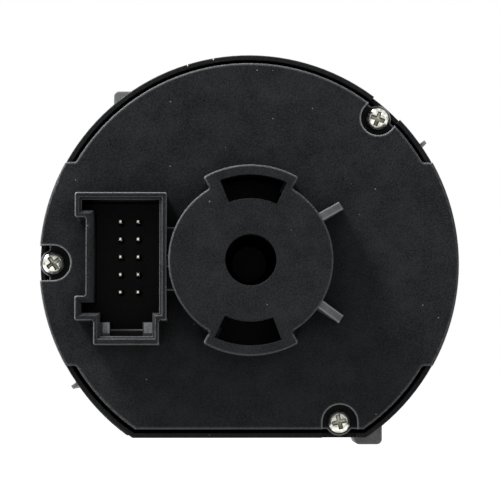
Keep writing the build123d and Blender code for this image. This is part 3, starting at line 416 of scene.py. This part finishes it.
def within(low, high, axis, limits):
    # the whole face lies between the limits
    return (low[axis] > limits[0]) & (high[axis] < limits[1])


def inMouth(low, high):
    return within(low, high, 0, facePlaces["mouthSides"]) & within(low, high, 2, facePlaces["mouthEnds"])


def facesRear(place, normal, depth, reach, least):
    # at this depth and turned to the rear
    return (np.abs(place[1] - depth) < reach) & (normal[1] > least)


def outwardShare(place, normal):
    # 1 where the normal leads straight away from the shaft's axis, -1 where it leads towards it
    radius = np.maximum(np.hypot(place[0], place[2]), axisRadius)
    return (place[0] * normal[0] + place[2] * normal[2]) / radius


def onGussets(place, normal, low, high):
    x, y, z = place
    a = math.radians(facePlaces["gussetAngle"])
    along = -x * math.cos(a) + np.abs(z) * math.sin(a)
    across = np.abs(x * math.sin(a) + np.abs(z) * math.cos(a))
    inStrip = between(along, (facePlaces["gussetFrom"], facePlaces["gussetTo"])) & (x < 0)
    return inStrip & (across < facePlaces["gussetHalfWidth"]) & (y > facePlaces["coverFace"])


def onShoulders(place, normal, low, high):
    return facesRear(place, normal, facePlaces["shoulderDepth"], nearness["close"], turned["mostly"])


def onLip(place, normal, low, high):
    # the bevel round the connector's mouth
    sloping = between(normal[1], (turned["half"], turned["mostly"]))
    return between(place[1], facePlaces["lipDepths"]) & sloping & inMouth(low, high)


def onFins(place, normal, low, high):
    return np.hypot(place[0], place[2]) > facePlaces["finFrom"]


def onBossTop(place, normal, low, high):
    return facesRear(place, normal, facePlaces["bossTop"], nearness["flush"], turned["square"])


def onHollows(place, normal, low, high):
    # walls of the boss's hole and slots, but not its outer wall, whose normals lead away from the axis
    radius = np.hypot(place[0], place[2])
    inSlot = (radius < facePlaces["slotRadius"]) & (np.abs(place[2]) > facePlaces["slotFrom"])
    inSlot &= outwardShare(place, normal) < turned["half"]
    deep = between(place[1], (facePlaces["hollowFrom"], facePlaces["bossTop"] - nearness["close"]))
    return deep & ((radius < facePlaces["holeRadius"]) | inSlot)


def onShroudTop(place, normal, low, high):
    onTop = facesRear(place, normal, facePlaces["shroudTop"], nearness["flush"], turned["square"])
    onTop &= within(low, high, 0, facePlaces["shroudSides"])
    return onTop & within(low, high, 2, facePlaces["shroudEnds"])


def onMouthWalls(place, normal, low, high):
    return inMouth(low, high) & (normal[1] < turned["half"]) & (high[1] > facePlaces["coverFace"])


def onMouthFloor(place, normal, low, high):
    floor = facesRear(place, normal, facePlaces["coverFace"], nearness["loose"], turned["mostly"])
    return inMouth(low, high) & floor


def onRim(place, normal, low, high):
    # the rim's end face and the groove's outer wall
    grooveWall = outwardShare(place, normal) < turned["hardly"]
    return (place[1] > facePlaces["rimFrom"]) & ((normal[1] > turned["mostly"]) | grooveWall)


def onPinSides(place, normal, low, high):
    return normal[1] < turned["half"]


paintFaces("rear_cover", "topFace", onBossTop)
paintFaces("rear_cover", "topFace", onShroudTop)
paintFaces("rear_cover", "wall", onMouthWalls)
paintFaces("rear_cover", "hollow", onMouthFloor)
paintFaces("housing", "rim", onRim)
paintFaces("rear_cover", "hollow", onHollows)
for number in range(1, 11):
    paintFaces(f"contact_pin_{number}", "pinSide", onPinSides)
paintFaces("rear_cover", "strut", onGussets)
paintFaces("rear_cover", "shoulder", onShoulders)
paintFaces("rear_cover", "lip", onLip)
paintFaces("housing", "fin", onFins)

# camera at the photograph's angle: it looks at the rear from a little below and to one side

photoView = {"place": (7.77, 430.0, -18.12), "focalPixels": 2206.2, "imageWidth": 500.0, "sensor": 36.0,
             "upward": 2.94, "sideways": -1.13, "clip": (0.01, 50.0)}


def makeCamera(view):
    data = bpy.data.cameras.new("photoCamera")
    data.sensor_width = view["sensor"]
    data.lens = view["focalPixels"] / view["imageWidth"] * view["sensor"]
    data.clip_start, data.clip_end = view["clip"]
    camera = bpy.data.objects.new("photoCamera", data)
    bpy.context.scene.collection.objects.link(camera)
    camera.location = Vector(view["place"]) * mm
    camera.rotation_euler = (math.radians(90 + view["upward"]), 0, math.radians(180 + view["sideways"]))
    bpy.context.scene.camera = camera


makeCamera(photoView)

# floor, world and lamps

studio = {"floorDepth": -75.0, "floorHalf": 9.0, "floorColour": 0.3, "floorRoughness": 0.9, "floorGlow": 1.0,
          "worldLight": 0.33}
# name, place and side lengths in metres, power in watts
lamps = [("keyLamp", (0.45, 0.19, 0.70), (0.35, 0.22), 18.5),
         ("fillLamp", (-0.75, 0.45, 0.10), (0.5, 0.7), 1.1),
         ("frontLamp", (0.3, -0.8, 0.45), (0.6, 0.6), 6.0)]


def seenDirectly(tree):
    # 1 for what the camera sees, straight or in polished metal and clear plastic
    path = addNode(tree, "ShaderNodeLightPath")
    mirrored = mathNode(tree, "ADD", path.outputs["Is Glossy Ray"], path.outputs["Is Transmission Ray"])
    return mathNode(tree, "ADD", path.outputs["Is Camera Ray"], mirrored, clamp=True)


def makeFloor(look):
    half, level = look["floorHalf"], look["floorDepth"] * mm
    data = bpy.data.meshes.new("floor")
    corners = [(-half, -half, level), (half, -half, level), (half, half, level), (-half, half, level)]
    data.from_pydata(corners, [], [(0, 1, 2, 3)])
    floor = bpy.data.objects.new("floor", data)
    bpy.context.scene.collection.objects.link(floor)
    material, tree, shader = newMaterial("paleFloor")
    shader.inputs["Base Color"].default_value = grey(look["floorColour"])
    shader.inputs["Roughness"].default_value = look["floorRoughness"]
    shader.inputs["Specular IOR Level"].default_value = 0.0
    glow = addNode(tree, "ShaderNodeEmission", Color=(1, 1, 1, 1))
    strength = mathNode(tree, "MULTIPLY", seenDirectly(tree), look["floorGlow"])
    tree.links.new(strength, glow.inputs["Strength"])
    both = addNode(tree, "ShaderNodeAddShader")
    tree.links.new(shader.outputs[0], both.inputs[0])
    tree.links.new(glow.outputs[0], both.inputs[1])
    tree.links.new(both.outputs[0], tree.nodes["Material Output"].inputs["Surface"])
    data.materials.append(material)


def makeWorld(look):
    world = bpy.data.worlds.new("studio")
    bpy.context.scene.world = world
    world.use_nodes = True
    tree = world.node_tree
    back = tree.nodes["Background"]
    back.inputs["Color"].default_value = (1, 1, 1, 1)
    seen = mathNode(tree, "MULTIPLY_ADD", seenDirectly(tree), 1.0 - look["worldLight"], look["worldLight"])
    tree.links.new(seen, back.inputs["Strength"])


def makeLamps(rows):
    for name, place, size, power in rows:
        lamp = bpy.data.lights.new(name, "AREA")
        lamp.shape, lamp.size, lamp.size_y, lamp.energy = "RECTANGLE", size[0], size[1], power
        holder = bpy.data.objects.new(name, lamp)
        bpy.context.scene.collection.objects.link(holder)
        holder.location = place
        holder.rotation_mode = "QUATERNION"
        holder.rotation_quaternion = (-Vector(place)).to_track_quat("-Z", "Y")


makeFloor(studio)
makeWorld(studio)
makeLamps(lamps)
bpy.context.scene.view_settings.view_transform = "Standard"
print("camera, floor and lights")

# cover screws: pan heads with a cross recess, and threaded shanks

screwLook = {"places": ((-23.4, 26.4, 20.0), (35.5, 0.0, 55.0), (-16.3, -28.7, 75.0)), "seat": 28.8,
             "headRadius": 2.0, "headHeight": 1.5, "domeDrop": 0.45, "domePower": 2.6, "rings": 40,
             "around": 96, "middleGap": 0.02, "sideShares": (0.2, 1.0), "sideRows": 5,
             "crossLength": 1.25, "crossWidth": 0.28, "crossDepth": 0.9, "crossWall": 0.1, "taperPast": 0.3,
             "endDepthShare": 0.3, "threadRadius": 1.0, "threadPitch": 0.55, "threadLength": 9.0,
             "threadDepth": 0.18, "threadRows": 90, "tipLength": 1.2, "tipShare": 0.15}


def roundRows(radius, height, around):
    # rows of points round the screw's axis
    points = np.broadcast_arrays(radius * np.cos(around), height, radius * np.sin(around))
    return np.stack(points, -1)


def screwHead(look, turn, around):
    # domed disc that sinks where the cross is, with walls that lean in towards the bottom
    r = np.linspace(look["middleGap"], 1, look["rings"])[:, None]
    radius = r * look["headRadius"]
    u, v = radius * np.cos(around), radius * np.sin(around)
    dome = look["headHeight"] * (1 - look["domeDrop"] * r**look["domePower"])
    t = math.radians(turn)
    p, q = np.abs(u * math.cos(t) + v * math.sin(t)), np.abs(v * math.cos(t) - u * math.sin(t))
    shorter, longer = np.minimum(p, q), np.maximum(p, q)
    outside = np.maximum(shorter - look["crossWidth"], longer - look["crossLength"])
    sunk = np.clip(1 - outside / look["crossWall"], 0, 1)
    taper = np.clip(1 - longer / (look["crossLength"] + look["taperPast"]), 0, 1)
    depthShare = look["endDepthShare"] + (1 - look["endDepthShare"]) * taper
    return roundRows(radius, dome - look["crossDepth"] * sunk * depthShare, around)


def screwSide(look, around):
    # straight wall from the dome's edge down to the seat
    share = np.linspace(*look["sideShares"], look["sideRows"])[:, None]
    return roundRows(look["headRadius"], look["headHeight"] * (1 - look["domeDrop"]) * (1 - share), around)


def screwShank(look, around):
    # the radius falls from the crest as a triangle wave of height and angle, and towards the tip
    h = np.linspace(0, look["threadLength"], look["threadRows"])[:, None]
    phase = np.abs(((h / look["threadPitch"] + around / (2 * np.pi)) % 1.0) - 0.5) * 2
    thread = look["threadRadius"] - look["threadDepth"] * phase
    thread = thread * np.clip((look["threadLength"] - h) / look["tipLength"] + look["tipShare"], 0, 1)
    return roundRows(thread, -h, around)


def screwSkin(look, x, z, turn):
    # rows of points from the middle of the head over its dome and side and down the thread to the tip
    around = np.linspace(0, 2 * np.pi, look["around"], endpoint=False)[None, :]
    rows = np.vstack([screwHead(look, turn, around), screwSide(look, around), screwShank(look, around)])
    rows = rows + (x, look["seat"], z)
    return rows.reshape(-1, 3), tubeFaces(len(rows), look["around"])


def makeScrews(look):
    verts, faces = joined([screwSkin(look, *place) for place in look["places"]])
    piece = meshPiece("coverScrewSet", verts * mm, faces, "housing", materials["screws"])
    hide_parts("cover_screws")


makeScrews(screwLook)
print("screws")

# wound springs in place of the plain sleeves

springLook = {"perTurn": 28, "sides": 10, "closedTurns": 1.4}
knobSpring = {"node": "knob_return_spring", "body": "shaft", "radius": 2.75, "wire": 0.35, "turns": 8.5,
              "start": (0, -7.5, 0), "axis": (0, -1, 0), "length": 8.9, "joint": "knob_push", "keep": 0.72}
lugSpring = {"body": "housing", "radius": 2.0, "wire": 0.3, "turns": 7.0, "length": 10.0, "keep": 0.43}
detentSpring = {"body": "housing", "radius": 1.25, "wire": 0.25, "turns": 6.0, "length": 4.8, "keep": None}
detentAngle, detentRing, detentDepth = math.radians(22.5), 20.75, 8.35
detentSine, detentCosine = math.sin(detentAngle), math.cos(detentAngle)
springs = [
    knobSpring,
    {**lugSpring, "node": "lug_spring_1", "start": (22.725, 8.6, -14.5), "axis": (0, 0, 1),
     "joint": "upper_lug_slide"},
    {**lugSpring, "node": "lug_spring_2", "start": (-22.725, 8.6, 14.5), "axis": (0, 0, -1),
     "joint": "lower_lug_slide"},
    {**detentSpring, "node": "detent_spring_1", "axis": (-detentSine, 0, detentCosine),
     "start": (-detentRing * detentSine, detentDepth, detentRing * detentCosine)},
    {**detentSpring, "node": "detent_spring_2", "axis": (detentSine, 0, detentCosine),
     "start": (detentRing * detentSine, detentDepth, detentRing * detentCosine)},
]


def coil(look, spring):
    # the wire's middle runs round the axis and rises evenly, but in the closed turns at both ends only by
    # its own thickness a turn; the tube's rings stand across the wire; wire is half its thickness
    total = spring["turns"]
    t = np.linspace(0, total, int(total * look["perTurn"]) + 1)
    closed, wire = look["closedTurns"], spring["wire"]
    height = spring["length"] - 2 * wire
    free = (t > closed) & (t < total - closed)
    pitch = np.where(free, (height - 4 * wire * closed) / (total - 2 * closed), 2 * wire)
    rise = np.concatenate([[0], np.cumsum((pitch[1:] + pitch[:-1]) / 2 * np.diff(t))])
    rise = rise / rise[-1] * height + wire
    axis = np.array(spring["axis"], float)
    side = np.cross(axis, [1.0, 0, 0] if abs(axis[0]) < 0.5 else [0, 1.0, 0])
    side /= np.linalg.norm(side)
    other = np.cross(axis, side)
    turn = 2 * np.pi * t[:, None]
    outward = np.cos(turn) * side + np.sin(turn) * other
    middle = np.array(spring["start"], float) + spring["radius"] * outward + rise[:, None] * axis
    along = np.gradient(middle, axis=0)
    along /= np.linalg.norm(along, axis=1)[:, None]
    across = np.cross(along, outward)
    a = np.linspace(0, 2 * np.pi, look["sides"], endpoint=False)[None, :, None]
    ring = middle[:, None, :] + wire * (np.cos(a) * outward[:, None, :] + np.sin(a) * across[:, None, :])
    return ring.reshape(-1, 3), tubeFaces(len(t), look["sides"])


for spring in springs:
    verts, faces = coil(springLook, spring)
    pieceName = spring["node"].replace("_", "") + "Coil"
    piece = meshPiece(pieceName, verts * mm, faces, spring["body"], materials["spring"])
    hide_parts(spring["node"])
    if spring["keep"]:
        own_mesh(piece)
print("springs")

# symbols on the front panel and beside the thumbwheels, drawn as the driver sees them, in mm

signs = {"depth": -5.2, "proud": 0.03, "line": 0.34, "ringRadius": 26.9, "size": 1.0,
         "ring": [("sun", -45), ("zero", 0), ("sideLamps", 45), ("lowBeam", 90), ("frontFog", -79),
                  ("rearFog", -99)],
         "beside": [("dimming", 22.3, -25.9), ("levelling", -22.3, -25.9)], "besideSize": 0.72,
         "dots": (-45, 0, 45, 90), "dotRadius": 0.32, "dotRing": 22.9, "dotPathShare": 0.55,
         "dotLineShare": 0.9, "dotCorners": 17, "bowl": (1.15, 1.25), "sharpest": 0.3, "widest": 1.6}


def arc(cx, cy, rx, ry, start, end, count=24):
    t = np.radians(np.linspace(start, end, count))
    return np.stack([cx + rx * np.cos(t), cy + ry * np.sin(t)], -1)


def segment(x0, y0, x1, y1):
    return np.array([[x0, y0], [x1, y1]], float)


def wave(x, low, high, swing=0.22):
    t = np.linspace(0, 1, 24)
    return np.stack([x + swing * np.sin(t * 2.5 * np.pi), low + (high - low) * t], -1)


def lampBody(x, side):
    # a flat glass and a bowl behind it, which bulges towards this side
    width, height = signs["bowl"]
    bowl = arc(x, 0, width * side, height, -90, 90)
    return np.vstack([bowl, bowl[:1]])


def rays(inner, outer, angles, down=0.0):
    # short lines that lead away from one point, this far below the middle of the symbol
    lines = []
    for a in np.radians(angles):
        x, y = math.cos(a), math.sin(a)
        lines.append(segment(inner * x, inner * y - down, outer * x, outer * y - down))
    return lines


signLines = {
    "zero": [arc(0, 0, 0.85, 1.25, 0, 360, 40)],
    "sun": [arc(0, 0, 0.75, 0.75, 0, 360, 32), *rays(1.15, 1.7, range(0, 360, 45))],
    "sideLamps": [lampBody(0.3, 1), lampBody(-0.3, -1)]
                 + [segment(side * 1.8, k * 0.45, side * 2.5, k * 0.9)
                    for side in (-1, 1) for k in (-1, 0, 1)],
    "lowBeam": [lampBody(0.35, 1), *(segment(-0.15, h, -2.0, h - 0.75) for h in (1.1, 0.5, -0.1, -0.7))],
    "frontFog": [lampBody(0.35, 1), wave(-1.1, -1.5, 1.3),
                 *(segment(-0.15, h, -2.1, h - 0.6) for h in (0.85, 0.15, -0.55))],
    "rearFog": [lampBody(-0.35, -1), wave(1.1, -1.4, 1.4),
                *(segment(0.15, h, 2.1, h) for h in (0.75, 0.0, -0.75))],
    "dimming": [arc(0, -0.9, 1.2, 1.2, 0, 180), *rays(1.6, 2.3, (10, 50, 90, 130, 170), down=0.9)],
    "levelling": [lampBody(0.6, 1), segment(-1.2, -1.3, -1.2, 1.3),
                  segment(-1.75, 0.7, -1.2, 1.3), segment(-0.65, 0.7, -1.2, 1.3),
                  segment(-1.75, -0.7, -1.2, -1.3), segment(-0.65, -0.7, -1.2, -1.3)],
}


def ribbon(points, width, look):
    # a printed line: the path shifted to both sides across its mean direction at each point
    front, back = look["depth"] - look["proud"], look["depth"] + look["proud"]
    ringShaped = np.allclose(points[0], points[-1])
    step = np.diff(points, axis=0)
    step /= np.linalg.norm(step, axis=1)[:, None]
    if ringShaped:
        points, before, after = points[:-1], np.roll(step, 1, axis=0), step
    else:
        before, after = np.vstack([step[:1], step]), np.vstack([step, step[-1:]])
    mean = before + after
    mean /= np.linalg.norm(mean, axis=1)[:, None]
    spread = np.clip(1 / np.maximum((mean * after).sum(1), look["sharpest"]), 1, look["widest"])[:, None]
    across = np.stack([-mean[:, 1], mean[:, 0]], -1) * width / 2 * spread
    left, right = points + across, points - across
    depth = np.ones(len(points))
    corners = [(left, back), (left, front), (right, front), (right, back)]
    verts = np.stack([np.stack([p[:, 0], depth * y, p[:, 1]], -1) for p, y in corners], 1).reshape(-1, 3)
    return verts, tubeFaces(len(points), 4, ringShaped)


def makeSigns(look):
    parts, places = [], []
    for name, angle in look["ring"]:
        a = math.radians(angle)
        x, z = look["ringRadius"] * math.sin(a), look["ringRadius"] * math.cos(a)
        places.append((name, x, z, look["size"]))
    places += [(name, x, z, look["besideSize"]) for name, x, z in look["beside"]]
    for name, x, z, size in places:
        width = look["line"] * size**0.5
        parts += [ribbon(line * size + (x, z), width, look) for line in signLines[name]]
    for a in np.radians(look["dots"]):
        middle = look["dotRing"] * np.array([math.sin(a), math.cos(a)])
        radius = look["dotPathShare"] * look["dotRadius"]
        path = arc(*middle, radius, radius, 0, 360, look["dotCorners"])
        parts.append(ribbon(path, look["dotLineShare"] * look["dotRadius"], look))
    verts, faces = joined(parts)
    meshPiece("panelSigns", verts * mm, faces, "housing", materials["sign"], smooth=False)


makeSigns(signs)
print("symbols")
